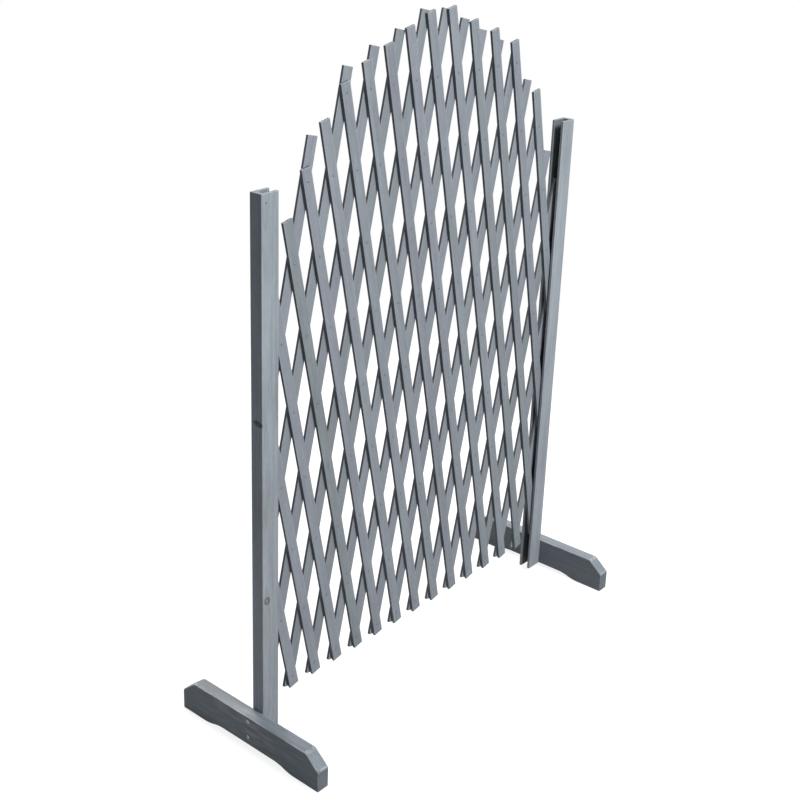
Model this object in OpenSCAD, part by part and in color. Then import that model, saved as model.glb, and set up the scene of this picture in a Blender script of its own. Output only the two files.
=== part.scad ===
// Expanding wooden trellis panel: a scissor lattice of riveted slats with an arched top,
// held at both ends in grooved posts that stand on screwed-on feet.
// Millimetres, +Z up, front towards -Y, origin on the ground under the middle of the panel.

/* [Lattice] */
// Distance between neighbouring rivets along a slat
pivot_pitch = 154; // [130:1:170]
// Lean of the slats from upright as the panel stands in the picture
lean = 12.7; // [9:0.1:24]
// Height of the lowest row of rivets above the ground
lowest_row = 116; // [95:1:200]
// Width of a slat
slat_w = 25.5; // [18:0.5:27]
// Thickness of a slat
slat_t = 6; // [4:0.25:8]
// Gap between the front and the back layer of slats
layer_gap = 0.6; // [0.5:0.1:1.5]
// Length of a slat below its lowest rivet
bottom_tail = 26; // [15:1:45]
// Length of a slat past its last pivot inside a post
groove_tail = 12; // [8:0.5:18]

/* [Rivets] */
// Diameter of a rivet's shank
rivet_d = 3; // [2.5:0.1:4]
// Diameter of a rivet's heads
rivet_head_d = 5; // [4.5:0.1:8]
// Height of a rivet's heads
rivet_head_t = 1; // [0.6:0.1:1.6]
// Play of a rivet in the back slat, on the radius and under its back head
rivet_play = 0.3; // [0.25:0.05:0.5]

/* [Posts] */
// Thickness of the post behind its groove
web_t = 9; // [9:0.5:20]
// Thickness of the post in front of and behind its groove
flange_t = 6.5; // [5:0.5:15]
// Room between a slat's turning end and the bottom of the groove
groove_end_play = 1; // [0.5:0.1:3]
// Room between the lattice and each side of the groove
groove_side_play = 2.2; // [2:0.1:5]
// Distance from the end pivots to the groove's mouth
mouth_reach = 16.5; // [10:0.5:30]
// Length of a post above its highest slat end
post_over = 150; // [60:1:250]

/* [Feet] */
// Length of a foot, front to back
foot_l = 396; // [300:1:500]
// Height of a foot
foot_h = 75; // [70:1:110]
// Thickness of a foot
foot_t = 30; // [20:0.5:45]
// Length of the slope at each upper corner
corner_l = 35; // [15:1:60]
// Height of the slope at each upper corner
corner_h = 29; // [12:1:45]
// Length of the pad at each end that stands on the ground
pad_l = 81; // [50:1:100]
// Length of the slope from a pad up to the raised underside
rise_l = 28; // [12:1:40]
// Height of the raised underside and of the post's lower end
rise_h = 9; // [5:0.5:15]

/* [Foot screws] */
// Diameter of a screw's shank
screw_d = 4; // [3:0.1:5]
// Diameter of a screw's countersunk head
screw_head_d = 8; // [6.5:0.1:9]
// Depth of a screw's tip in the post
screw_bite = 8; // [5:0.5:8.5]
// Height of the lower screw above the ground
screw_low = 27; // [20:1:30]
// Depth of the upper screw below the top of the foot
screw_down = 11; // [8:1:15]
// Play of a screw's shank in the foot, on the radius
screw_play = 0.2; // [0.1:0.05:0.4]

/* [Post pins and nail] */
// Diameter of the pin that carries the lattice in a post
pin_d = 4; // [3:0.1:6]
// Diameter of the pin's head
pin_head_d = 8; // [7:0.1:10]
// Height of the pin's head
pin_head_t = 1.5; // [1:0.1:3]
// Depth of the pin's end in the front of the post
pin_blind = 4; // [3:0.1:4.5]
// Play of the slats on the pin, on the radius
pin_play = 0.3; // [0.25:0.05:0.5]
// Diameter of the stop nail
nail_d = 2; // [1.5:0.1:3]
// Diameter of the stop nail's head
nail_head_d = 5; // [3.5:0.1:6]
// Height of the stop nail's head
nail_head_t = 0.8; // [0.5:0.1:1.5]
// Distance of the stop nail from the post's top
nail_down = 17; // [10:1:40]
// Distance of the stop nail from the bottom of the groove
nail_in = 3; // [2:0.1:8]
// Depth of the stop nail's tip in the back of the post
nail_bite = 4; // [3:0.5:4.5]

/* [Hidden] */
// Clearance of a pressed or screwed fit, on the radius
press_play = 0.02;
// How far a cut runs past the face that it opens
cut = 1;
// Facets of round pieces
$fn = 48;

// The lattice is counted in columns and rows of pivots. A front slat leans to the left and
// crosses the lowest row, or the right-hand post, at an even column.
columns = 28;
// Tops of the slats that make the arch, as rows above the lowest one
arch_tops = [6.57, 7.17, 7.71, 8.13, 8.35, 8.52, 8.70, 8.86, 8.88, 8.67, 8.51, 8.31, 7.54];
// Slats of a layer that run up into a post instead of the arch
short_slats = 3;
slats = short_slats + len(arch_tops);
// Row where the highest slat end lies in a post, and the pinned row below it
top_end_row = 2 * short_slats;
pin_row = top_end_row - 2;

col = pivot_pitch * sin(lean);
row = pivot_pitch * cos(lean);
layer_y = layer_gap / 2;
lattice_y = layer_y + slat_t;
groove_w = 2 * (lattice_y + groove_side_play);
post_d = groove_w + 2 * flange_t;
// From the end pivots to the bottom of the groove, so that a slat's end can turn right round
groove_reach = norm([groove_tail, slat_w / 2]) + groove_end_play;
post_w = web_t + groove_reach + mouth_reach;
outer_x = pivot_x(0) - groove_reach - web_t;
post_top = pivot_z(top_end_row) + post_over;
screw_head_t = (screw_head_d - screw_d) / 2;
screw_l = foot_t + screw_bite;
screw_tip = screw_d;
wood = "slategray";
steel = "dimgray";

// Plain number of a slat as two digits
function two(k) = str(k < 10 ? "0" : "", k);
function names(stem) = [for (k = [1:slats]) str(stem, two(k))];

// Place of a pivot from its column and row
function pivot_x(c) = (c - columns / 2) * col;
function pivot_z(r) = lowest_row + r * row;

// First and last row of slat k, and the lengths past them
function first_row(k) = max(0, 2 * k - columns);
function arch_top(k) = arch_tops[k - short_slats - 1];
function last_row(k) = k <= short_slats ? 2 * k : floor(arch_top(k));
function low_tail(k) = 2 * k <= columns - 2 ? bottom_tail : groove_tail;
function high_tail(k) =
    k <= short_slats ? groove_tail : (arch_top(k) - last_row(k)) * pivot_pitch;
function slat_column(k, r) = 2 * k - r;

// A slat is riveted where a slat of the other layer crosses it
function crossing(k, r) = 2 * k - 2 * r;
function riveted(k, r) =
    crossing(k, r) <= columns - 2 && crossing(k, r) >= columns - 2 * slats && !pinned(k, r);
function pinned(k, r) =
    r == pin_row && (slat_column(k, r) == 0 || slat_column(k, r) == columns);

// Round bar along Y from y0 to y1
module bar_y(d, y0, y1) {
    translate([0, y0, 0]) rotate([-90, 0, 0]) cylinder(d = d, h = y1 - y0);
}

// Slat k of the front layer with its bores, at its place in the lattice
module slat(k, bore_d) {
    r0 = first_row(k);
    span = (last_row(k) - r0) * pivot_pitch;
    translate([pivot_x(slat_column(k, r0)), -lattice_y, pivot_z(r0)])
        rotate([0, -lean, 0])
            difference() {
                translate([-slat_w / 2, 0, -low_tail(k)])
                    cube([slat_w, slat_t, low_tail(k) + span + high_tail(k)]);
                for (r = [r0:last_row(k)])
                    if (riveted(k, r) || pinned(k, r))
                        translate([0, 0, (r - r0) * pivot_pitch])
                            bar_y(pinned(k, r) ? pin_d + 2 * pin_play : bore_d, -cut, slat_t + cut);
            }
}

module front_slat(k) {
    color(wood) slat(k, rivet_d + 2 * press_play);
}

// The back layer is the front layer turned half round
module back_slat(k) {
    color(wood) rotate([0, 0, 180]) slat(k, rivet_d + 2 * rivet_play);
}

// One rivet, with its axis on Z and the front slat's face at 0
module rivet() {
    shank = 2 * lattice_y + rivet_play;
    r = rivet_head_d / 2;
    rim = rivet_head_t / 3;
    crown = rivet_head_d / 4;
    rotate_extrude()
        polygon([
            [0, -rivet_head_t], [crown, -rivet_head_t], [r, -rim], [r, 0], [rivet_d / 2, 0],
            [rivet_d / 2, shank], [r, shank], [r, shank + rim], [crown, shank + rivet_head_t],
            [0, shank + rivet_head_t]
        ]);
}

// All rivets that front slat k carries
module rivets(k) {
    color(steel)
        for (r = [first_row(k):last_row(k)])
            if (riveted(k, r))
                translate([pivot_x(slat_column(k, r)), -lattice_y, pivot_z(r)])
                    rotate([-90, 0, 0]) rivet();
}

// Where the pin of the left post lies
module at_pin() {
    translate([pivot_x(0), 0, pivot_z(pin_row)]) children();
}

// Where the stop nail lies
module at_nail() {
    translate([outer_x + web_t + nail_in, 0, post_top - nail_down]) children();
}

// Where the screws of the left foot lie, with the screw's axis on Z from the foot's outer face
module at_screws() {
    for (z = [screw_low, foot_h - screw_down])
        translate([outer_x - foot_t, 0, z]) rotate([0, 90, 0]) children();
}

// Post with its groove, at the left end of the lattice
module post() {
    difference() {
        translate([outer_x, -post_d / 2, rise_h])
            cube([post_w, post_d, post_top - rise_h]);
        translate([outer_x + web_t, -groove_w / 2, rise_h - cut])
            cube([post_w, groove_w, post_top - rise_h + 2 * cut]);
        at_pin()
            bar_y(pin_d + 2 * press_play, -groove_w / 2 - pin_blind, post_d / 2 + cut);
        at_screws()
            translate([0, 0, foot_t - cut])
                cylinder(d = screw_d + 2 * press_play, h = screw_bite + cut);
    }
}

module left_post() {
    color(wood)
        difference() {
            post();
            at_nail()
                bar_y(nail_d + 2 * press_play, -post_d / 2 - cut, groove_w / 2 + nail_bite);
        }
}

module right_post() {
    color(wood) mirror([1, 0, 0]) post();
}

// Outline of a foot from its front end to its back end, as [length, height]
function foot_outline() =
    let (e = foot_l / 2, p = e - pad_l, q = p - rise_l, c = e - corner_l, h = foot_h - corner_h)
    [[-e, 0], [-p, 0], [-q, rise_h], [q, rise_h], [p, 0], [e, 0], [e, h], [c, foot_h],
     [-c, foot_h], [-e, h]];

// Foot with its screw holes, on the outer face of the left post
module foot() {
    difference() {
        translate([outer_x - foot_t, 0, 0])
            rotate([90, 0, 90]) linear_extrude(foot_t) polygon(foot_outline());
        at_screws() {
            translate([0, 0, -cut])
                cylinder(d = screw_d + 2 * screw_play, h = foot_t + 2 * cut);
            cylinder(d1 = screw_head_d + 2 * press_play, d2 = screw_d + 2 * press_play,
                     h = screw_head_t + press_play);
        }
    }
}

module left_foot() {
    color(wood) foot();
}

module right_foot() {
    color(wood) mirror([1, 0, 0]) foot();
}

// Countersunk screws that hold the left foot
module foot_screws() {
    color(steel)
        at_screws()
            rotate_extrude()
                polygon([
                    [0, 0], [screw_head_d / 2, 0], [screw_d / 2, screw_head_t],
                    [screw_d / 2, screw_l - screw_tip], [0, screw_l]
                ]);
}

module left_foot_screws() {
    foot_screws();
}

module right_foot_screws() {
    mirror([1, 0, 0]) foot_screws();
}

// Pin driven in from the back of the left post, through the pivot of the pinned row
module post_pin() {
    color(steel)
        at_pin() {
            bar_y(pin_d, -groove_w / 2 - pin_blind + press_play, post_d / 2);
            bar_y(pin_head_d, post_d / 2, post_d / 2 + pin_head_t);
        }
}

module left_post_pin() {
    post_pin();
}

module right_post_pin() {
    mirror([1, 0, 0]) post_pin();
}

// Nail across the top of the left groove, which keeps the lattice from being lifted out
module stop_nail() {
    color(steel)
        at_nail() {
            bar_y(nail_d, -post_d / 2, groove_w / 2 + nail_bite - press_play);
            bar_y(nail_head_d, -post_d / 2 - nail_head_t, -post_d / 2);
        }
}

left_post();
right_post();
left_foot();
right_foot();
left_foot_screws();
right_foot_screws();
left_post_pin();
right_post_pin();
stop_nail();
for (k = [1:slats]) {
    front_slat(k);
    back_slat(k);
    rivets(k);
}
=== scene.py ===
"""An expanding wooden trellis panel on two feet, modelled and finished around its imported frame.

Every slat, post, foot and fastener is modelled at the place of the solid that it stands for and
moves with that solid's body. Lengths are metres, +Z is up and the panel's front looks along -Y.
"""

import logging
import math
from contextlib import contextmanager
from dataclasses import dataclass
from enum import Enum
from typing import Any, Callable, Dict, Iterator, List, Optional, Sequence, Tuple, Union

import bmesh
import bpy
from mathutils import Matrix, Vector

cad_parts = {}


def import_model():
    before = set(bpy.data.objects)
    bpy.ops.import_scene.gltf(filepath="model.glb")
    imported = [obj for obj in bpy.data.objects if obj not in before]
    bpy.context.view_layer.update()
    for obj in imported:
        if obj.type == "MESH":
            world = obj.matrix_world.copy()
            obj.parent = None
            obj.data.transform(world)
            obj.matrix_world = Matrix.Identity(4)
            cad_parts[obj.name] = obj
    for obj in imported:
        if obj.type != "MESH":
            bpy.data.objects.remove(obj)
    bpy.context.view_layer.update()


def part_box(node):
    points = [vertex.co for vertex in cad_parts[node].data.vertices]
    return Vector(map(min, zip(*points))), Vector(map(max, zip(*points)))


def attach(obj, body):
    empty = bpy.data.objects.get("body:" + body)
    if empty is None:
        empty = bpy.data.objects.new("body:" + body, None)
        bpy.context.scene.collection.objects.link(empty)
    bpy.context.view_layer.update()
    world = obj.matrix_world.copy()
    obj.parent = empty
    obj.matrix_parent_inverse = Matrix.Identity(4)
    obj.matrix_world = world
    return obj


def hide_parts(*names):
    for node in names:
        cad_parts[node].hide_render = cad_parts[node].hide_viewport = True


LOG = logging.getLogger("trellis")
MM = 0.001
# How near something has to lie to count as being there
SLACK = 0.1 * MM
# Least part of a normal along an axis, for a board's end, a round bar's end and a slat's edge
END_FACING = 0.95
CAP_FACING = 0.9
EDGE_FACING = 0.7
# Least corner of an edge that is eased, and largest between faces that count as one
EASED_CORNER = math.radians(14)
FLAT_CORNER = math.radians(0.5)
WHITE = (1.0, 1.0, 1.0, 1.0)

Pair = Tuple[float, float]
Triple = Tuple[float, float, float]
Socket = bpy.types.NodeSocket
Material = bpy.types.Material
Number = Union[float, "Value"]


class Named(Enum):
    """A choice whose name is a word of the node names."""

    @property
    def label(self) -> str:
        """The word in the node names."""
        return self.name.lower()


class Side(Named):
    """The end of the panel that a post or foot stands at, as the sign of its X."""

    LEFT = -1
    RIGHT = 1

    @property
    def inward(self) -> int:
        """Sign of the direction along X that points at the lattice."""
        return -self.value


class Layer(Named):
    """One of the two layers of slats, with the way that its slats lean as they rise."""

    FRONT = -1
    BACK = 1


class Grain(Enum):
    """Direction of the wood's fibres, as the order of a board's across, through and along axes."""

    UPRIGHT = (0, 1, 2)
    FRONT_TO_BACK = (2, 0, 1)


class Primitive(Enum):
    """A mesh to start from, with the operator that adds it."""

    CUBE = "primitive_cube_add"
    PLANE = "primitive_plane_add"
    CYLINDER = "primitive_cylinder_add"


class Part(Enum):
    """What is selected in edit mode, with the list of a mesh that holds it."""

    VERT = "verts"
    EDGE = "edges"
    FACE = "faces"


class Face(Enum):
    """The side of a board that a knot shows on."""

    FRONT = "front"
    OUTER = "outer"


class Slot(Enum):
    """A name for each kind of finish."""

    SLAT = "slat_wood"
    POST = "post_wood"
    FOOT = "foot_wood"
    STEEL = "steel"


class Mark(Enum):
    """What a board's mesh tells its finish: an attribute's name, its kind and what carries it."""

    BOARD = ("board", "FLOAT_VECTOR", "POINT")
    SEED = ("seed", "FLOAT", "POINT")
    WEAR = ("wear", "FLOAT", "POINT")
    # Stain darkness of coarse faces: cut ends and slat edges, and painted shade in a post's groove
    SAWN = ("sawn", "FLOAT", "FACE")


class Draw(Enum):
    """What a board's number settles, each at its own step from that number."""

    TONE = 0.0
    PITH_SIDE = 0.11
    PITH_DEPTH = 0.23
    HUE = 0.37


def math_node(operation: str, turned: bool = False) -> Callable[["Value", Number], "Value"]:
    """Makes an operator that adds one Math node.

    Args:
        operation: Name of the node's operation.
        turned: Whether the other number comes first.

    Returns:
        The operator.
    """

    def operator(value: "Value", other: Number) -> "Value":
        """Adds the node and gives its result."""
        pair = (other, value) if turned else (value, other)
        return value.book.maths(operation, *pair)

    return operator


class Value:
    """A number that a shader node gives, used in expressions like a plain number."""

    __add__ = math_node("ADD")
    __radd__ = math_node("ADD", turned=True)
    __sub__ = math_node("SUBTRACT")
    __rsub__ = math_node("SUBTRACT", turned=True)
    __mul__ = math_node("MULTIPLY")
    __rmul__ = math_node("MULTIPLY", turned=True)
    __truediv__ = math_node("DIVIDE")
    __mod__ = math_node("FLOORED_MODULO")
    __pow__ = math_node("POWER")

    def __init__(self, book: "NodeBook", socket: Socket) -> None:
        """Keeps the output that gives the number and the tree that it belongs to."""
        self.book = book
        self.socket = socket

    def hypot(self, other: "Value") -> "Value":
        """Length of the vector that has these two numbers as its sides."""
        return (self * self + other * other) ** 0.5

    def rise(self, low: float, high: float) -> "Value":
        """Smooth step from 0 at low to 1 at high, or the other way round if low is the larger.

        Args:
            low: Where the step is 0.
            high: Where the step is 1.

        Returns:
            The step, from 0 to 1.
        """
        first, last = min(low, high), max(low, high)
        made = self.book.node(
            "ShaderNodeMapRange",
            {"interpolation_type": "SMOOTHSTEP"},
            {"Value": self, "From Min": first, "From Max": last},
        )
        step = Value(self.book, made.outputs["Result"])
        return step if low < high else 1.0 - step


class NodeBook:
    """The nodes of one material or of the world, made through one method."""

    def __init__(self, tree: bpy.types.NodeTree) -> None:
        """Clears the tree, which is then filled."""
        self.tree = tree
        tree.nodes.clear()

    def node(
        self,
        kind: str,
        settings: Optional[Dict[str, Any]] = None,
        sockets: Optional[Dict[Union[str, int], Any]] = None,
    ) -> bpy.types.Node:
        """Adds a node, sets it up and feeds its inputs.

        Args:
            kind: Blender's name of the node type.
            settings: Properties of the node, which are set first.
            sockets: A number, colour, Value or output for each named or counted input.

        Returns:
            The new node.
        """
        made = self.tree.nodes.new(kind)
        for name, setting in (settings or {}).items():
            setattr(made, name, setting)
        for key, given in (sockets or {}).items():
            source = given.socket if isinstance(given, Value) else given
            if isinstance(source, Socket):
                self.tree.links.new(source, made.inputs[key])
            else:
                made.inputs[key].default_value = source
        return made

    def maths(self, operation: str, first: Number, second: Number) -> Value:
        """Works out a number from two others."""
        made = self.node("ShaderNodeMath", {"operation": operation}, {0: first, 1: second})
        return Value(self, made.outputs[0])

    def attribute(self, mark: Mark) -> bpy.types.Node:
        """Reads a mark of the mesh."""
        return self.node("ShaderNodeAttribute", {"attribute_name": mark.value[0]})

    def number(self, mark: Mark) -> Value:
        """Reads a mark that is one number."""
        return Value(self, self.attribute(mark).outputs["Fac"])

    def split(self, vector: Socket) -> Tuple[Value, ...]:
        """Gives the three parts of a vector."""
        made = self.node("ShaderNodeSeparateXYZ", None, {0: vector})
        return tuple(Value(self, output) for output in made.outputs)

    def noise(self, x: Number, y: Number, z: Number, detail: float = 2.0) -> Value:
        """Soft noise about one unit wide, centred on 0.

        Args:
            x: First coordinate.
            y: Second coordinate.
            z: Third coordinate.
            detail: Octaves of finer noise.

        Returns:
            Noise from about -0.5 to 0.5.
        """
        place = self.node("ShaderNodeCombineXYZ", None, {0: x, 1: y, 2: z})
        sockets = {"Vector": place.outputs[0], "Scale": 1.0, "Detail": detail}
        return Value(self, self.node("ShaderNodeTexNoise", None, sockets).outputs[0]) - 0.5

    def chance(self, seed: Number) -> Value:
        """A number from -0.5 to 0.5 that is fixed by a seed."""
        made = self.node("ShaderNodeTexWhiteNoise", {"noise_dimensions": "1D"}, {"W": seed})
        return Value(self, made.outputs["Value"]) - 0.5

    def mix(self, share: Number, first: Any, second: Any) -> Socket:
        """Mixes two colours.

        Args:
            share: Share of the second colour, from 0 to 1.
            first: Triple or output at share 0.
            second: Triple or output at share 1.

        Returns:
            The output that gives the mixed colour.
        """
        colours = {6: first, 7: second}
        plain = {key: (*c, 1.0) if isinstance(c, tuple) else c for key, c in colours.items()}
        made = self.node("ShaderNodeMix", {"data_type": "RGBA"}, {0: share, **plain})
        return made.outputs[2]

    def shade(self, colour: Socket, strength: Value) -> Socket:
        """Scales a colour by a number."""
        made = self.node("ShaderNodeVectorMath", {"operation": "SCALE"}, {0: colour, 3: strength})
        return made.outputs[0]

    def bump(self, strength: float, depth: float, height: Value) -> Socket:
        """Turns a height into a normal."""
        sockets = {"Strength": strength, "Distance": depth, "Height": height}
        return self.node("ShaderNodeBump", None, sockets).outputs["Normal"]

    def shader(self, kind: str, sockets: Dict[Union[str, int], Any]) -> Socket:
        """Adds a shader and gives its output."""
        return self.node(kind, None, sockets).outputs[0]

    def surface(self, shader: Socket) -> None:
        """Makes a shader the one that shows."""
        self.node("ShaderNodeOutputMaterial", None, {"Surface": shader})


def new_material(name: str) -> Tuple[Material, NodeBook]:
    """Makes a material with an empty tree.

    Args:
        name: Name of the material.

    Returns:
        The material and the book of its nodes.
    """
    material = bpy.data.materials.new(name)
    material.use_nodes = True
    return material, NodeBook(material.node_tree)


class BoardPoint:
    """A point of a board, as the board's finish reads it."""

    # Metres of noise from one board's number to the next
    BOARD_STEP = 3.7

    def __init__(self, book: NodeBook) -> None:
        """Reads where the point lies and the board's number.

        Args:
            book: Tree of the finish.
        """
        self.book = book
        self.seed = book.number(Mark.SEED)
        self.across, self.through, self.along = book.split(book.attribute(Mark.BOARD).outputs["Vector"])
        self.run = self.along + self.seed * self.BOARD_STEP

    def draw(self, what: Draw) -> Value:
        """A number from -0.5 to 0.5 that is fixed for the whole board."""
        return self.book.chance(self.seed + what.value)


@dataclass(frozen=True)
class Figure:
    """Soft variation of the wood, longer along its fibres than across them."""

    width: float
    length: float
    detail: float = 2.0

    def at(self, point: BoardPoint) -> Value:
        """Noise from about -0.5 to 0.5, by the board's number."""
        across, through = point.across / self.width, point.through / self.width
        return point.book.noise(across, through, point.run / self.length, self.detail)


@dataclass(frozen=True)
class Drift:
    """Slow wandering along a board, read from a lane of the noise for the board's number."""

    reach: float
    length: float
    stride: float
    lane: float

    def at(self, point: BoardPoint) -> Value:
        """How far the wandering has led at a point."""
        lane = point.seed * self.stride
        return point.book.noise(point.run / self.length, lane, self.lane, detail=1.0) * self.reach


@dataclass(frozen=True)
class Rings:
    """Growth rings round a pith that lies near the board and wanders along it."""

    gap: float
    darkness: float
    pith_depth: float = 35 * MM
    pith_spread: float = 30 * MM
    wander: Drift = Drift(14 * MM, 300 * MM, stride=5.1, lane=0.0)
    dip: Drift = Drift(50 * MM, 450 * MM, stride=3.3, lane=7.0)
    sharpness: float = 2.5

    def at(self, point: BoardPoint) -> Value:
        """Late wood: 0 in the early wood, rising to 1 at the end of each ring.

        Args:
            point: A point of the board.

        Returns:
            Late wood from 0 to 1.
        """
        aside = point.draw(Draw.PITH_SIDE) * self.pith_spread + self.wander.at(point)
        below = point.draw(Draw.PITH_DEPTH) * self.pith_spread + self.dip.at(point) + self.pith_depth
        radius = (point.across + aside).hypot(point.through + below)
        return (radius / self.gap % 1.0) ** self.sharpness


@dataclass(frozen=True)
class Knot:
    """A knot in a board, by its place on one face.

    Place is the distance from the board's middle across that face and the height along the board.
    The knot is an ellipse, stretch times as high as it is wide, with a dark rim and a paler core.
    The last four fields say where these begin and end, in radii, and how deep the knot goes.
    """

    face: Face
    place: Pair
    radius: float
    stretch: float
    tilt: float
    darkness: float
    core: float
    rim_inside: Pair = (0.35, 0.9)
    rim_outside: Pair = (1.65, 0.95)
    core_edge: Pair = (1.0, 0.4)
    depth: Pair = (2.5 * MM, 0.5 * MM)

    def at(self, point: BoardPoint, half_width: float, half_depth: float) -> Value:
        """Darkening by the knot, which is nothing away from its face.

        Args:
            point: A point of the board.
            half_width: Distance from the board's middle to its outer face.
            half_depth: Distance from the board's middle to its front face.

        Returns:
            0 away from the knot, and up to its darkness in it.
        """
        if self.face is Face.FRONT:
            wide, below = point.across, point.through + half_depth
        else:
            wide, below = point.through, point.across + half_width
        side, up = wide - self.place[0], point.along - self.place[1]
        turn, lift = math.cos(self.tilt), math.sin(self.tilt)
        far = (side * turn + up * lift) / self.radius
        high = (up * turn - side * lift) / (self.radius * self.stretch)
        out = far.hypot(high)
        rim = out.rise(*self.rim_inside) * out.rise(*self.rim_outside)
        core = out.rise(*self.core_edge) * self.core
        return self.darkness * ((rim + core) * below.rise(*self.depth))


@dataclass(frozen=True)
class StainedWood:
    """Planed softwood under a thin blue-grey stain, which lets the grain and knots show."""

    cool: Triple
    warm: Triple
    bare: Triple = (0.44, 0.46, 0.48)
    board_tone: float = 0.16
    board_hue: float = 0.7
    blotch: float = 0.42
    streak: float = 0.36
    fibre: float = 0.24
    mottle: float = 0.2
    rings: Rings = Rings(3.2 * MM, 0.07)
    # How much the coarse-face mark darkens the stain, which also makes the painted shade in a post's
    # groove
    sawn_darkness: float = 0.34
    # Share of bare wood on scuffed rims: edge wear, and on the feet also a painted highlight along the
    # arrises
    wear_share: float = 0.3
    halo: float = 0.15
    halo_reach: float = 2.2
    roughness: float = 0.62
    streak_roughness: float = 0.2
    worn_polish: float = 0.08
    shine: float = 0.22
    fibre_relief: float = 0.5
    streak_relief: float = 0.8
    ring_relief: float = 0.35
    dark_relief: float = 0.4
    relief: float = 0.35
    relief_depth: float = 0.5 * MM
    blotches: Figure = Figure(50 * MM, 220 * MM)
    streaks: Figure = Figure(4.5 * MM, 200 * MM, detail=3.0)
    fibres: Figure = Figure(0.9 * MM, 40 * MM, detail=3.0)
    mottling: Figure = Figure(6 * MM, 16 * MM)
    tints: Figure = Figure(50 * MM, 110 * MM)
    scuffs: Figure = Figure(12 * MM, 50 * MM)
    scuff_edge: Pair = (-0.12, 0.16)

    def material(
        self,
        name: str,
        half_width: float = 0.0,
        half_depth: float = 0.0,
        knots: Sequence[Knot] = (),
        rivet_pitch: Optional[float] = None,
        rivet_reach: float = 2.5 * MM,
    ) -> Material:
        """Makes the finish for boards that carry all the marks.

        Args:
            name: Name of the material.
            half_width: Distance from the board's middle to its outer face, where a knot may show.
            half_depth: Distance from the board's middle to its front face, where a knot may show.
            knots: Knots that show on the board's faces.
            rivet_pitch: Distance between rivets along the board, where it has any.
            rivet_reach: Radius of a rivet's head, round which the stain is darker.

        Returns:
            The material.
        """
        material, book = new_material(name)
        point = BoardPoint(book)
        wear, sawn = book.number(Mark.WEAR), book.number(Mark.SAWN)
        streak, fibre = self.streaks.at(point), self.fibres.at(point)
        late_wood = self.rings.at(point)
        dark = self.rings.darkness * late_wood
        for knot in knots:
            dark = dark + knot.at(point, half_width, half_depth)
        if rivet_pitch is not None:
            nearest = ((point.along / rivet_pitch + 0.5) % 1.0 - 0.5) * rivet_pitch
            ring = point.across.hypot(nearest).rise(self.halo_reach * rivet_reach, rivet_reach)
            dark = dark + self.halo * ring
        tone = point.draw(Draw.TONE) * self.board_tone + self.blotches.at(point) * self.blotch
        tone = tone + streak * self.streak + fibre * self.fibre + self.mottling.at(point) * self.mottle
        # The coarse-face mark darkens cut ends and slat edges, and lays painted shade in a post's groove
        strength = (1.0 + tone - dark) * (1.0 - self.sawn_darkness * sawn)
        hue = self.tints.at(point) + point.draw(Draw.HUE) * self.board_hue
        stain = book.mix(hue + 0.5, self.cool, self.warm)
        scuffed = self.scuffs.at(point).rise(*self.scuff_edge)
        # Bare wood on scuffed rims: edge wear, which on the feet also lays a painted highlight along the
        # arrises
        wear_and_highlight = wear * (1.0 - sawn) * scuffed * self.wear_share
        height = fibre * self.fibre_relief + streak * self.streak_relief
        height = height - late_wood * self.ring_relief - dark * self.dark_relief
        sockets = {
            "Base Color": book.mix(wear_and_highlight, book.shade(stain, strength), self.bare),
            "Roughness": self.roughness + streak * self.streak_roughness - wear_and_highlight * self.worn_polish,
            "Specular IOR Level": self.shine,
            "Normal": book.bump(self.relief, self.relief_depth, height),
        }
        book.surface(book.shader("ShaderNodeBsdfPrincipled", sockets))
        return material


@dataclass(frozen=True)
class PaintedSteel:
    """Small steel fasteners that were stained over with the wood, rubbed bright here and there."""

    paint: Triple = (0.14, 0.157, 0.178)
    thin_paint: float = 1.5
    steel: Triple = (0.45, 0.46, 0.48)
    rubbed: float = 0.16
    rub_edge: Pair = (0.28, 0.42)
    patch: float = 2.2 * MM
    grain: float = 0.7 * MM
    grime: float = 0.35
    metallic: float = 0.9
    roughness: float = 0.52
    grime_roughness: float = 0.2
    rubbed_polish: float = 0.14
    grime_relief: float = 0.6
    rubbed_relief: float = 0.5
    relief: float = 0.25
    relief_depth: float = 0.1 * MM

    def material(self, name: str) -> Material:
        """Makes the finish on the piece's own coordinates.

        Args:
            name: Name of the material.

        Returns:
            The material.
        """
        material, book = new_material(name)
        x, y, z = book.split(book.node("ShaderNodeTexCoord").outputs["Object"])
        patch = book.noise(x / self.patch, y / self.patch, z / self.patch, detail=3.0)
        film = book.noise(x / self.grain, y / self.grain, z / self.grain)
        rubbed = patch.rise(*(edge - self.rubbed for edge in self.rub_edge))
        thin = tuple(self.thin_paint * part for part in self.paint)
        paint = book.mix(0.5 + film * self.grime, self.paint, thin)
        height = film * self.grime_relief - rubbed * self.rubbed_relief
        sockets = {
            "Base Color": book.mix(rubbed, paint, self.steel),
            "Metallic": rubbed * self.metallic,
            "Roughness": self.roughness + film * self.grime_roughness - rubbed * self.rubbed_polish,
            "Normal": book.bump(self.relief, self.relief_depth, height),
        }
        book.surface(book.shader("ShaderNodeBsdfPrincipled", sockets))
        return material


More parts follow.
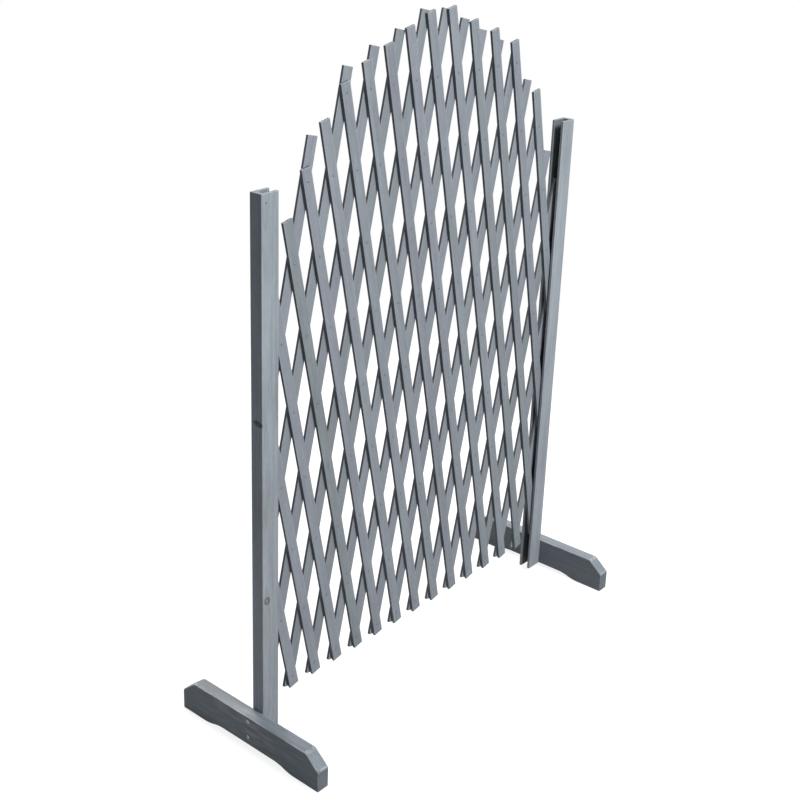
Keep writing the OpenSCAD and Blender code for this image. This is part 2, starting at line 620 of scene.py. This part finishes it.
class Workpiece:
    """One mesh on the bench: a primitive that operators shape and modifiers finish."""

    def __init__(
        self, name: str, start: Primitive, scale: Sequence[float] = (1, 1, 1), **settings: Any
    ) -> None:
        """Adds the primitive and puts its size and place into its mesh.

        Args:
            name: Name of the piece.
            start: The primitive to start from.
            scale: How far it is stretched along its own axes.
            **settings: Size and place for the primitive's operator.
        """
        bpy.ops.object.select_all(action="DESELECT")
        getattr(bpy.ops.mesh, start.value)(**settings)
        self.object = bpy.context.active_object
        self.object.scale = scale
        self.object.name = name
        self.object.data.name = name
        bpy.ops.object.transform_apply(location=True, rotation=True, scale=True)

    @property
    def mesh(self) -> bpy.types.Mesh:
        """The piece's mesh."""
        return self.object.data

    def take_up(self) -> None:
        """Makes this the only selected object, and the active one."""
        bpy.ops.object.select_all(action="DESELECT")
        self.object.select_set(True)
        bpy.context.view_layer.objects.active = self.object

    @contextmanager
    def editing(self) -> Iterator[None]:
        """Holds the piece in edit mode."""
        self.take_up()
        bpy.ops.object.mode_set(mode="EDIT")
        yield
        bpy.ops.object.mode_set(mode="OBJECT")

    def pick(self, part: Part, test: Callable[[Any], bool] = lambda item: True) -> None:
        """Selects what passes a test, and nothing else, in edit mode.

        Args:
            part: What is selected.
            test: Says whether one of them is.
        """
        bpy.ops.mesh.select_mode(type=part.name)
        bpy.ops.mesh.select_all(action="DESELECT")
        shape = bmesh.from_edit_mesh(self.mesh)
        for item in getattr(shape, part.value):
            if test(item):
                item.select_set(True)
        bmesh.update_edit_mesh(self.mesh)

    def split_at(self, point: Sequence[float], normal: Sequence[float]) -> None:
        """Cuts edges into the whole piece where a plane crosses it, in edit mode."""
        self.pick(Part.FACE)
        bpy.ops.mesh.bisect(plane_co=point, plane_no=normal)

    def close(self) -> None:
        """Merges flat faces and turns all faces outwards, in edit mode."""
        self.pick(Part.FACE)
        bpy.ops.mesh.dissolve_limited(angle_limit=FLAT_CORNER)
        self.face_outwards()

    def face_outwards(self) -> None:
        """Turns all faces outwards, in edit mode."""
        self.pick(Part.FACE)
        bpy.ops.mesh.normals_make_consistent(inside=False)

    @staticmethod
    def extrude(move: Sequence[float]) -> None:
        """Draws out the selected faces, in edit mode."""
        bpy.ops.mesh.extrude_region_move(TRANSFORM_OT_translate={"value": move})

    def modify(self, kind: str, **settings: Any) -> None:
        """Adds a modifier and applies it.

        Args:
            kind: Blender's name of the modifier type.
            **settings: Properties of the modifier.
        """
        self.take_up()
        modifier = self.object.modifiers.new(kind, kind)
        for name, setting in settings.items():
            setattr(modifier, name, setting)
        bpy.ops.object.modifier_apply(modifier=modifier.name)

    def ease(self, width: float, segments: int = 2) -> None:
        """Rounds every sharp edge in a few segments, as far as a width from it."""
        corner = {"limit_method": "ANGLE", "angle_limit": EASED_CORNER}
        self.modify("BEVEL", width=width, segments=segments, **corner)

    def subtract(self, cutter: "Workpiece") -> None:
        """Cuts another piece out of this one and throws it away.

        Args:
            cutter: The piece that is cut out.
        """
        self.modify("BOOLEAN", operation="DIFFERENCE", object=cutter.object, solver="EXACT")
        shape = cutter.mesh
        bpy.data.objects.remove(cutter.object)
        bpy.data.meshes.remove(shape)

    def place(self, turn: Sequence[float], to: Sequence[float]) -> None:
        """Turns the piece about the origin, moves it and keeps both in the mesh.

        Args:
            turn: Angles about X, Y and Z.
            to: Where the origin goes.
        """
        self.take_up()
        self.object.rotation_euler = turn
        self.object.location = to
        bpy.ops.object.transform_apply(location=True, rotation=True, scale=True)

    def smooth(self, angle: float = 32.0) -> None:
        """Shades smooth all edges but those of a sharper angle, in degrees."""
        self.take_up()
        bpy.ops.object.shade_smooth_by_angle(angle=math.radians(angle))

    def repeat(self, count: int, step: Vector) -> None:
        """Repeats the piece in a row, with a step from each to the next."""
        offset = {"use_relative_offset": False, "use_constant_offset": True}
        self.modify("ARRAY", count=count, constant_offset_displace=step, **offset)

    def note(self, mark: Mark, values: List[float]) -> None:
        """Writes a mark into the mesh, from one flat list for all points or faces."""
        key = "vector" if mark is Mark.BOARD else "value"
        self.mesh.attributes.new(*mark.value).data.foreach_set(key, values)

    def rim(self, width: float, room: float = 1.2) -> None:
        """Insets each flat face and marks all that is outside the insets as edge wear.

        Args:
            width: Width of the rim along the edges.
            room: Least area of a face that is inset, in rims all round it.
        """
        with self.editing():
            self.pick(Part.FACE, lambda f: f.calc_area() > room * width * f.calc_perimeter())
            bpy.ops.mesh.inset(thickness=width, use_individual=True)
        kept = {v for face in self.mesh.polygons if face.select for v in face.vertices}
        self.note(Mark.WEAR, [0.0 if v.index in kept else 1.0 for v in self.mesh.vertices])

    def grain(
        self,
        way: Grain,
        middle: Vector,
        seed: float,
        rough_and_shade: Callable[[Any], float] = lambda face: 0.0,
        end: float = 1.0,
    ) -> None:
        """Marks each point's place in the board, the faces that take more stain or painted shade, and the
        board's number.

        Args:
            way: Direction of the fibres.
            middle: The point from which places are counted.
            seed: The board's number, which settles its figure and tone.
            rough_and_shade: Says how much darker a face along the fibres is stained, as coarse wood on a
                slat's edges and as painted shade in a post's groove.
            end: How coarse the cut ends are, which take up more stain.
        """
        places = [(v.co - middle)[axis] for v in self.mesh.vertices for axis in way.value]
        along = way.value[2]
        sawn = [end if abs(f.normal[along]) > END_FACING else rough_and_shade(f) for f in self.mesh.polygons]
        self.note(Mark.BOARD, places)
        self.note(Mark.SAWN, sawn)
        self.note(Mark.SEED, [seed] * len(self.mesh.vertices))


def dress(work: Workpiece, node: str, body: str, finish: Material) -> None:
    """Smooths a piece, gives it its finish and lets it stand for a solid.

    Args:
        work: The modelled piece.
        node: The solid that it stands for.
        body: The body that it moves with.
        finish: Its material.
    """
    work.smooth()
    work.mesh.materials.clear()
    work.mesh.materials.append(finish)
    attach(work.object, body)
    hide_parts(node)
    LOG.info("%s: %d faces, rides on %s", work.object.name, len(work.mesh.polygons), body)


def middle_of(node: str) -> Vector:
    """Middle of a solid's box."""
    low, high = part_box(node)
    return (low + high) / 2


@dataclass(frozen=True)
class Head:
    """A low domed head of a rivet, pin or nail.

    The dome rises from the rim in steps, each an inset as a share of the diameter and a rise as a
    share of the dome's height.
    """

    diameter: float
    height: float
    rim_share: float = 0.35
    dome: Tuple[Pair, ...] = ((0.10, 0.6), (0.18, 0.4))

    def grow(self, work: Workpiece, bar: float, way: int) -> None:
        """Grows the head on one end of a round bar along Z, in edit mode.

        Args:
            work: The bar.
            bar: Its diameter.
            way: -1 for the lower end and 1 for the upper one.
        """
        work.pick(Part.FACE, lambda face: face.normal.z * way > CAP_FACING)
        rim = self.height * self.rim_share
        wider = self.diameter / bar
        work.extrude((0, 0, 0))
        bpy.ops.transform.resize(value=(wider, wider, 1))
        work.extrude((0, 0, way * rim))
        for inset, rise in self.dome:
            bpy.ops.mesh.inset(thickness=inset * self.diameter, depth=rise * (self.height - rim))


def headed_bar(
    name: str, diameter: float, length: float, heads: Tuple[Optional[Head], Optional[Head]], sides: int
) -> Workpiece:
    """Makes a round bar along Z with a domed head at its lower or upper end, or at both.

    Args:
        name: Name of the piece.
        diameter: Diameter of the bar.
        length: Length between its heads.
        heads: The lower and the upper head, or None for a plain end.
        sides: Sides of the round shapes.

    Returns:
        The bar, with its middle at the origin.
    """
    work = Workpiece(name, Primitive.CYLINDER, vertices=sides, radius=diameter / 2, depth=length)
    with work.editing():
        for head, way in zip(heads, (-1, 1)):
            if head is not None:
                head.grow(work, diameter, way)
    return work


@dataclass
class Lattice:
    """The riveted slats of both layers."""

    finish: StainedWood
    steel: Material
    count: int = 16
    lean: float = math.radians(12.7)
    pitch: float = 154 * MM
    width: float = 25.5 * MM
    thickness: float = 6 * MM
    ease: float = 0.7 * MM
    rim: float = 1.4 * MM
    edge_roughness: float = 1.2
    end_roughness: float = 1.9
    pinned: Tuple[int, int] = (2, 16)
    rivet_bore: float = 3.6 * MM
    pin_bore: float = 4.6 * MM
    drill_l: float = 24 * MM
    rivet_d: float = 3 * MM
    head_d: float = 5 * MM
    head_t: float = 1 * MM
    sides: int = 12
    layer_seed: float = 0.5

    def build(self) -> None:
        """Makes all slats and rivets."""
        rivets = {"rivet_pitch": self.pitch, "rivet_reach": self.head_d / 2}
        finish = self.finish.material("slat_stain", **rivets)
        for number in range(1, self.count + 1):
            for layer in Layer:
                self._slat(layer, number, finish)
            self._rivets(number)

    def _pivots(self, layer: Layer, number: int) -> Tuple[Vector, int]:
        """Finds the rivets of a slat. The back layer is the front layer turned half round.

        Args:
            layer: The slat's layer.
            number: The slat's number.

        Returns:
            The lowest rivet's place in the lattice's plane, and how many rivets there are.
        """
        low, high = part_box(f"rivets_{number:02d}")
        span = high.z - low.z - self.head_d
        count = round(span / (self.pitch * math.cos(self.lean))) + 1
        lowest = high.x - self.head_d / 2
        return Vector((-layer.value * lowest, 0, low.z + self.head_d / 2)), count

    def _slat(self, layer: Layer, number: int, finish: Material) -> None:
        """Makes one slat with eased edges and its bores, upright, and leans it in place.

        Args:
            layer: The slat's layer.
            number: The slat's number.
            finish: Its material.
        """
        node = f"{layer.label}_slat_{number:02d}"
        low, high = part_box(node)
        middle = middle_of(node)
        length = (high.z - low.z - self.width * math.sin(self.lean)) / math.cos(self.lean)
        upward = Vector((layer.value * math.sin(self.lean), 0, math.cos(self.lean)))
        rivet, count = self._pivots(layer, number)
        first = (rivet - middle).dot(upward)
        size = (self.width, self.thickness, length)
        work = Workpiece(f"{node}_board", Primitive.CUBE, size=1, scale=size)
        work.ease(self.ease)
        work.rim(self.rim)
        work.subtract(self._drill(self.rivet_bore, first, count))
        if number in self.pinned:
            side = Side.LEFT if middle.x < 0 else Side.RIGHT
            pin = middle_of(f"{side.label}_post_pin")
            work.subtract(self._drill(self.pin_bore, (pin - middle).dot(upward), 1))
        work.grain(
            Grain.UPRIGHT,
            Vector((0, 0, first)),
            number + self.layer_seed * layer.value,
            lambda face: self.edge_roughness if abs(face.normal.x) > EDGE_FACING else 0.0,
            self.end_roughness,
        )
        work.place((0, layer.value * self.lean, 0), middle)
        dress(work, node, f"{layer.label}_{number:02d}", finish)

    def _drill(self, bore: float, first: float, count: int) -> Workpiece:
        """Makes the cutter for a row of bores through an upright slat.

        Args:
            bore: Diameter of the bores.
            first: Height of the lowest one.
            count: How many there are, a pitch apart.

        Returns:
            The cutter.
        """
        drill = Workpiece(
            "drill",
            Primitive.CYLINDER,
            vertices=self.sides,
            radius=bore / 2,
            depth=self.drill_l,
            rotation=(math.pi / 2, 0, 0),
            location=(0, 0, first),
        )
        drill.repeat(count, Vector((0, 0, self.pitch)))
        return drill

    def _rivets(self, number: int) -> None:
        """Makes the rivets of one front slat.

        Args:
            number: The slat's number.
        """
        node = f"rivets_{number:02d}"
        low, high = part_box(node)
        lowest, count = self._pivots(Layer.FRONT, number)
        shank = high.y - low.y - 2 * self.head_t
        head = Head(self.head_d, self.head_t)
        work = headed_bar(f"{node}_heads", self.rivet_d, shank, (head, head), self.sides)
        work.place((math.pi / 2, 0, 0), (lowest.x, (low.y + high.y) / 2, lowest.z))
        step = Vector((-math.sin(self.lean), 0, math.cos(self.lean))) * self.pitch
        work.repeat(count, step)
        dress(work, node, f"front_{number:02d}", self.steel)


def is_beside_groove(edge: Any, web_face: float, groove: float) -> bool:
    """Says whether a flange of the post grows from an edge of its plan.

    Args:
        edge: The edge.
        web_face: X of the groove's bottom.
        groove: Half width of the groove.

    Returns:
        True for the two edges beside the groove.
    """
    first, second = (v.co for v in edge.verts)
    on_face = max(abs(first.x - web_face), abs(second.x - web_face)) < SLACK
    return on_face and abs(first.y + second.y) / 2 > groove


def is_in_groove(face: Any, outer: float, web: float, groove: float) -> bool:
    """Says whether a face of the post is the groove's bottom or one of its cheeks."""
    return abs(face.center.y) < groove + SLACK and abs(face.center.x - outer) > web - SLACK


def is_under_slope(vert: Any, slopes: Pair, underside: float) -> bool:
    """Says whether a corner of the foot's outline is an end of a slope of its underside."""
    near = min(abs(abs(vert.co.y) - end) for end in slopes)
    return vert.co.z < underside and near < SLACK


@dataclass
class Stand:
    """A grooved post on its foot, with the screws and the pin that hold them."""

    side: Side
    post_finish: StainedWood
    foot_finish: StainedWood
    steel: Material
    seed: float
    # Painted shade in the groove: how much darker the stain is on the groove's bottom and cheeks
    groove_roughness: float
    post_knots: Sequence[Knot] = ()
    web: float = 9 * MM
    flange: float = 6.5 * MM
    post_ease: float = 1.1 * MM
    foot_ease: float = 1.6 * MM
    rim: float = 1.3 * MM
    end_roughness: float = 1.8
    corner: Pair = (35 * MM, 29 * MM)
    pad: float = 81 * MM
    rise: Pair = (28 * MM, 9 * MM)
    underside: float = 20 * MM
    corner_round: float = 4 * MM
    rise_round: float = 13 * MM
    round_steps: int = 5
    ease_steps: int = 3
    foot_seed: float = 0.3
    screw_d: float = 4 * MM
    screw_head_d: float = 8 * MM
    screw_sink: float = 0.25 * MM
    screw_ease: float = 0.15 * MM
    countersink_play: float = 0.4 * MM
    recess: Triple = (4.4 * MM, 1.1 * MM, 1.2 * MM)
    pin_head_t: float = 1.5 * MM
    sides: int = 32

    @property
    def body(self) -> str:
        """The body that everything here moves with."""
        return f"{self.side.label}_frame"

    def node(self, part: str) -> str:
        """Name of this stand's solid of a part."""
        return f"{self.side.label}_{part}"

    def build(self) -> None:
        """Makes the post, the foot, the screws and the pin."""
        self._post()
        self._foot()
        self._screws()
        self._pin()

    def _post(self) -> None:
        """Makes the post from its web and flanges in plan, drawn up to its height."""
        node = self.node("post")
        low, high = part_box(node)
        inward = self.side.inward
        outer = low.x if inward > 0 else high.x
        web_face = outer + inward * self.web
        reach = high.x - low.x - self.web
        depth = high.y - low.y
        groove = depth / 2 - self.flange
        work = Workpiece(
            f"{node}_batten",
            Primitive.PLANE,
            size=1,
            scale=(self.web, depth, 1),
            location=((outer + web_face) / 2, 0, low.z),
        )
        with work.editing():
            for y in (-groove, groove):
                work.split_at((0, y, 0), (0, 1, 0))
            work.pick(Part.EDGE, lambda edge: is_beside_groove(edge, web_face, groove))
            bpy.ops.mesh.extrude_edges_move(TRANSFORM_OT_translate={"value": (inward * reach, 0, 0)})
            work.pick(Part.FACE)
            work.extrude((0, 0, high.z - low.z))
            work.close()
        work.ease(self.post_ease, self.ease_steps)
        work.rim(self.rim)
        work.grain(
            Grain.UPRIGHT,
            Vector(((low.x + high.x) / 2, 0, 0)),
            self.seed,
            # The groove's bottom and cheeks take painted shade through the coarse-face mark
            lambda face: self.groove_roughness if is_in_groove(face, outer, self.web, groove) else 0.0,
            self.end_roughness,
        )
        half_width = (high.x - low.x) / 2
        finish = self.post_finish.material(f"{node}_stain", half_width, depth / 2, self.post_knots)
        dress(work, node, self.body, finish)

    def _foot(self) -> None:
        """Makes the foot from its outline on edge, with softened corners, and drills it."""
        node = self.node("foot")
        low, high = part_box(node)
        half, height = high.y, high.z
        rise_l, rise_h = self.rise
        corner_l, corner_h = self.corner
        pad_end = half - self.pad
        flat_end = pad_end - rise_l
        work = Workpiece(
            f"{node}_board",
            Primitive.PLANE,
            size=1,
            scale=(height, 2 * half, 1),
            rotation=(0, math.pi / 2, 0),
            location=(low.x, 0, height / 2),
        )
        with work.editing():
            for y in (half - corner_l, pad_end, flat_end):
                work.split_at((0, y, 0), (0, 1, 0))
                work.split_at((0, -y, 0), (0, 1, 0))
            work.pick(Part.VERT, lambda v: v.co.z < SLACK and abs(v.co.y) < flat_end + SLACK)
            bpy.ops.transform.translate(value=(0, 0, rise_h))
            work.pick(Part.VERT, lambda v: v.co.z > height - SLACK and abs(v.co.y) > half - SLACK)
            bpy.ops.transform.translate(value=(0, 0, -corner_h))
            work.close()
            self._soften(work, lambda v: v.co.z > height - corner_h - SLACK, self.corner_round)
            slopes = (pad_end, flat_end)
            self._soften(work, lambda v: is_under_slope(v, slopes, self.underside), self.rise_round)
            work.pick(Part.FACE)
            work.extrude((high.x - low.x, 0, 0))
            work.face_outwards()
        work.ease(self.foot_ease, self.ease_steps)
        work.rim(self.rim)
        work.subtract(self._countersinks())
        work.grain(Grain.FRONT_TO_BACK, middle_of(node), self.seed + self.foot_seed)
        finish = self.foot_finish.material(f"{node}_stain")
        dress(work, node, self.body, finish)

    def _soften(self, work: Workpiece, test: Callable[[Any], bool], reach: float) -> None:
        """Rounds those corners of a flat outline that pass a test, in edit mode."""
        work.pick(Part.VERT, test)
        bpy.ops.mesh.bevel(offset=reach, segments=self.round_steps, affect="VERTICES")

    def _cone(self, name: str, top: float, length: float) -> Workpiece:
        """Makes a countersunk shape along Z: a cone under a round top, and a shank.

        Args:
            name: Name of the piece.
            top: Diameter of its top.
            length: Whole length below the top at the origin.

        Returns:
            The shape.
        """
        sink = (top - self.screw_d) / 2
        taper = self.screw_d / top
        work = Workpiece(
            name,
            Primitive.CYLINDER,
            vertices=self.sides,
            radius=top / 2,
            depth=sink,
            location=(0, 0, -sink / 2),
        )
        with work.editing():
            work.pick(Part.FACE, lambda face: face.normal.z < -CAP_FACING)
            bpy.ops.transform.resize(value=(taper, taper, 1))
            work.extrude((0, 0, sink - length))
        return work

    def _pair_up(self, work: Workpiece, sink: float = 0.0) -> None:
        """Turns a shape's top outwards and sets one in each place of a screw.

        Args:
            work: The shape, with its top at the origin.
            sink: How far the top lies under the foot's outer face.
        """
        low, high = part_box(self.node("foot_screws"))
        outer = low.x if self.side is Side.LEFT else high.x
        lower = (outer + self.side.inward * sink, 0, low.z + self.screw_head_d / 2)
        work.place((0, self.side.value * math.pi / 2, 0), lower)
        work.repeat(2, Vector((0, 0, high.z - low.z - self.screw_head_d)))

    def _countersinks(self) -> Workpiece:
        """Makes the cutter for the screws' holes.

        Returns:
            The cutter.
        """
        low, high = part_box(self.node("foot"))
        cutter = self._cone("countersink", self.screw_head_d + self.countersink_play, 2 * (high.x - low.x))
        with cutter.editing():
            cutter.pick(Part.FACE, lambda face: face.normal.z > CAP_FACING)
            cutter.extrude((0, 0, MM))
        self._pair_up(cutter)
        return cutter

    def _screws(self) -> None:
        """Makes the countersunk screws with cross recesses."""
        node = self.node("foot_screws")
        low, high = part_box(node)
        work = self._cone(f"{node}_heads", self.screw_head_d, high.x - low.x - self.screw_sink)
        work.ease(self.screw_ease)
        long, wide, deep = self.recess
        for size in ((long, wide, 2 * deep), (wide, long, 2 * deep)):
            work.subtract(Workpiece("recess", Primitive.CUBE, size=1, scale=size))
        self._pair_up(work, self.screw_sink)
        dress(work, node, self.body, self.steel)

    def _pin(self) -> None:
        """Makes the pin that carries the lattice, with its domed head at the back."""
        node = self.node("post_pin")
        low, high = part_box(node)
        middle = middle_of(node)
        head = Head(high.x - low.x, self.pin_head_t)
        length = high.y - low.y - head.height
        work = headed_bar(f"{node}_head", self.screw_d, length, (head, None), self.sides)
        work.place((math.pi / 2, 0, 0), (middle.x, low.y + length / 2, middle.z))
        dress(work, node, self.body, self.steel)


@dataclass
class StopNail:
    """The nail near the top of the left post."""

    steel: Material
    shank_d: float = 2 * MM
    head_t: float = 0.8 * MM
    rim_share: float = 0.6
    sides: int = 24
    node: str = "stop_nail"
    body: str = "left_frame"

    def build(self) -> None:
        """Makes the nail with its head at the front."""
        low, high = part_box(self.node)
        middle = middle_of(self.node)
        head = Head(high.x - low.x, self.head_t, self.rim_share)
        length = high.y - low.y - self.head_t
        work = headed_bar(f"{self.node}_head", self.shank_d, length, (None, head), self.sides)
        work.place((math.pi / 2, 0, 0), (middle.x, high.y - length / 2, middle.z))
        dress(work, self.node, self.body, self.steel)


@dataclass(frozen=True)
class Lamp:
    """A square soft lamp."""

    name: str
    place: Triple
    size: float
    power: float
    colour: Triple = (1.0, 1.0, 1.0)

    def hang(self, aim: Vector) -> None:
        """Hangs the lamp, looking at a point.

        Args:
            aim: The point.
        """
        light = bpy.data.lights.new(self.name, "AREA")
        light.size = self.size
        light.energy = self.power
        light.color = self.colour
        lamp = bpy.data.objects.new(self.name, light)
        bpy.context.scene.collection.objects.link(lamp)
        lamp.location = self.place
        lamp.rotation_euler = (aim - Vector(self.place)).to_track_quat("-Z", "Y").to_euler()


@dataclass
class Studio:
    """The pale floor, the soft light and the camera at the photograph's place."""

    image: float = 800.0
    sensor: float = 36.0
    focus_px: float = 1302.4
    centre_px: Pair = (330.0, 335.0)
    camera_at: Triple = (-2.0643, -1.6096, 1.7353)
    yaw: float = 47.62
    pitch: float = 20.405
    roll: float = -0.916
    floor_span: float = 40.0
    floor_albedo: float = 0.25
    floor_glow: float = 0.86
    floor_fade: Pair = (2.6, 1.0)
    ambient: Triple = (0.142, 0.161, 0.188)
    lamps: Tuple[Lamp, ...] = (
        Lamp("key", (0.35, -3.9, 4.6), size=1.8, power=362.0),
        Lamp("top", (0.3, 0.5, 4.2), size=1.2, power=88.0, colour=(1.13, 1.0, 0.85)),
        Lamp("back", (1.8, 4.2, 2.8), size=1.8, power=165.0),
    )
    aim: Triple = (0.0, 0.0, 0.75)

    def build(self) -> None:
        """Sets up the floor, the world, the lamps and the camera."""
        bpy.context.scene.view_settings.view_transform = "Standard"
        self._floor()
        self._world()
        for lamp in self.lamps:
            lamp.hang(Vector(self.aim))
        self._camera()

    @staticmethod
    def _shown(book: NodeBook) -> Value:
        """1 for rays from the camera or from a reflection or refraction, and 0 for light.

        Args:
            book: Tree of the floor or the world.

        Returns:
            The switch.
        """
        path = book.node("ShaderNodeLightPath")
        names = ("Is Camera Ray", "Is Glossy Ray", "Is Transmission Ray")
        camera, glossy, through = (Value(book, path.outputs[name]) for name in names)
        return (camera + glossy + through).rise(0.0, 1.0)

    def _floor(self) -> None:
        """Lays a floor that shows white and keeps a soft shadow of the object."""
        floor = Workpiece("studio_floor", Primitive.PLANE, size=self.floor_span)
        material, book = new_material("studio_floor")
        x, y, _ = book.split(book.node("ShaderNodeTexCoord").outputs["Object"])
        near = x.hypot(y).rise(*self.floor_fade)
        grey = (*[self.floor_albedo] * 3, 1.0)
        lit = book.shader("ShaderNodeBsdfDiffuse", {"Color": grey})
        white = book.shader("ShaderNodeEmission", {"Color": WHITE, "Strength": 1.0})
        glow = book.shader("ShaderNodeEmission", {"Color": WHITE, "Strength": self.floor_glow})
        both = book.shader("ShaderNodeAddShader", {0: glow, 1: lit})
        seen = book.shader("ShaderNodeMixShader", {0: near, 1: white, 2: both})
        book.surface(book.shader("ShaderNodeMixShader", {0: self._shown(book), 1: lit, 2: seen}))
        floor.mesh.materials.append(material)

    def _world(self) -> None:
        """Fills the room with weak cool light and shows it as white."""
        world = bpy.data.worlds.new("studio_world")
        bpy.context.scene.world = world
        world.use_nodes = True
        book = NodeBook(world.node_tree)
        cool = (*self.ambient, 1.0)
        light = book.shader("ShaderNodeBackground", {"Color": cool, "Strength": 1.0})
        white = book.shader("ShaderNodeBackground", {"Color": WHITE, "Strength": 1.0})
        mixed = book.shader("ShaderNodeMixShader", {0: self._shown(book), 1: light, 2: white})
        book.node("ShaderNodeOutputWorld", None, {"Surface": mixed})

    def _camera(self) -> None:
        """Puts the camera where the photograph was taken, with the photograph's framing."""
        yaw, pitch, roll = (math.radians(angle) for angle in (self.yaw, self.pitch, self.roll))
        level = math.cos(pitch)
        forward = Vector((math.sin(yaw) * level, math.cos(yaw) * level, -math.sin(pitch)))
        flat = Vector((math.cos(yaw), -math.sin(yaw), 0))
        down = forward.cross(flat)
        right = flat * math.cos(roll) + down * math.sin(roll)
        up = flat * math.sin(roll) - down * math.cos(roll)
        data = bpy.data.cameras.new("camera")
        data.sensor_width = self.sensor
        data.lens = self.focus_px * self.sensor / self.image
        data.shift_x = 0.5 - self.centre_px[0] / self.image
        data.shift_y = self.centre_px[1] / self.image - 0.5
        camera = bpy.data.objects.new("camera", data)
        bpy.context.scene.collection.objects.link(camera)
        turned = Matrix((right, up, -forward)).transposed().to_4x4()
        camera.matrix_world = Matrix.Translation(Vector(self.camera_at)) @ turned
        bpy.context.scene.camera = camera


@dataclass
class Trellis:
    """The whole panel: the lattice between its two stands."""

    slat_wood: StainedWood = StainedWood(cool=(0.238, 0.253, 0.294), warm=(0.224, 0.257, 0.274))
    post_wood: StainedWood = StainedWood(
        cool=(0.308, 0.334, 0.376),
        warm=(0.298, 0.336, 0.362),
        rings=Rings(9 * MM, 0.14),
        board_tone=0.04,
        blotch=0.7,
    )
    foot_wood: StainedWood = StainedWood(
        cool=(0.206, 0.230, 0.268),
        warm=(0.202, 0.234, 0.258),
        rings=Rings(7 * MM, 0.12),
        board_tone=0.04,
        # Raised edge wear that also paints a highlight along the foot's arrises
        wear_share=0.5,
    )
    knots: Tuple[Knot, ...] = (
        Knot(Face.FRONT, (-10 * MM, 337 * MM), 6.2 * MM, stretch=1.1, tilt=0.3, darkness=0.5, core=0.45),
        Knot(Face.OUTER, (-4 * MM, 722 * MM), 10 * MM, stretch=0.45, tilt=0.15, darkness=0.7, core=1.0),
    )
    rivet_steel: PaintedSteel = PaintedSteel()
    screw_steel: PaintedSteel = PaintedSteel(steel=(0.31, 0.32, 0.34), rubbed=0.52, patch=6 * MM)

    def build(self) -> None:
        """Makes the lattice, both stands and the nail."""
        steel = self.rivet_steel.material("painted_steel")
        screws = self.screw_steel.material("rubbed_steel")
        woods = (self.post_wood, self.foot_wood)
        Lattice(self.slat_wood, steel).build()
        # Both posts get painted shade in their grooves, deeper in the right one
        Stand(Side.LEFT, *woods, screws, seed=40.0, groove_roughness=0.7, post_knots=self.knots).build()
        Stand(Side.RIGHT, *woods, screws, seed=41.0, groove_roughness=1.35).build()
        StopNail(steel).build()


def main() -> None:
    """Loads the frame, models and finishes every piece, and sets up the studio."""
    logging.basicConfig(level=logging.INFO, format="%(name)s: %(message)s")
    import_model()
    Studio().build()
    Trellis().build()


if __name__ == "__main__":
    main()
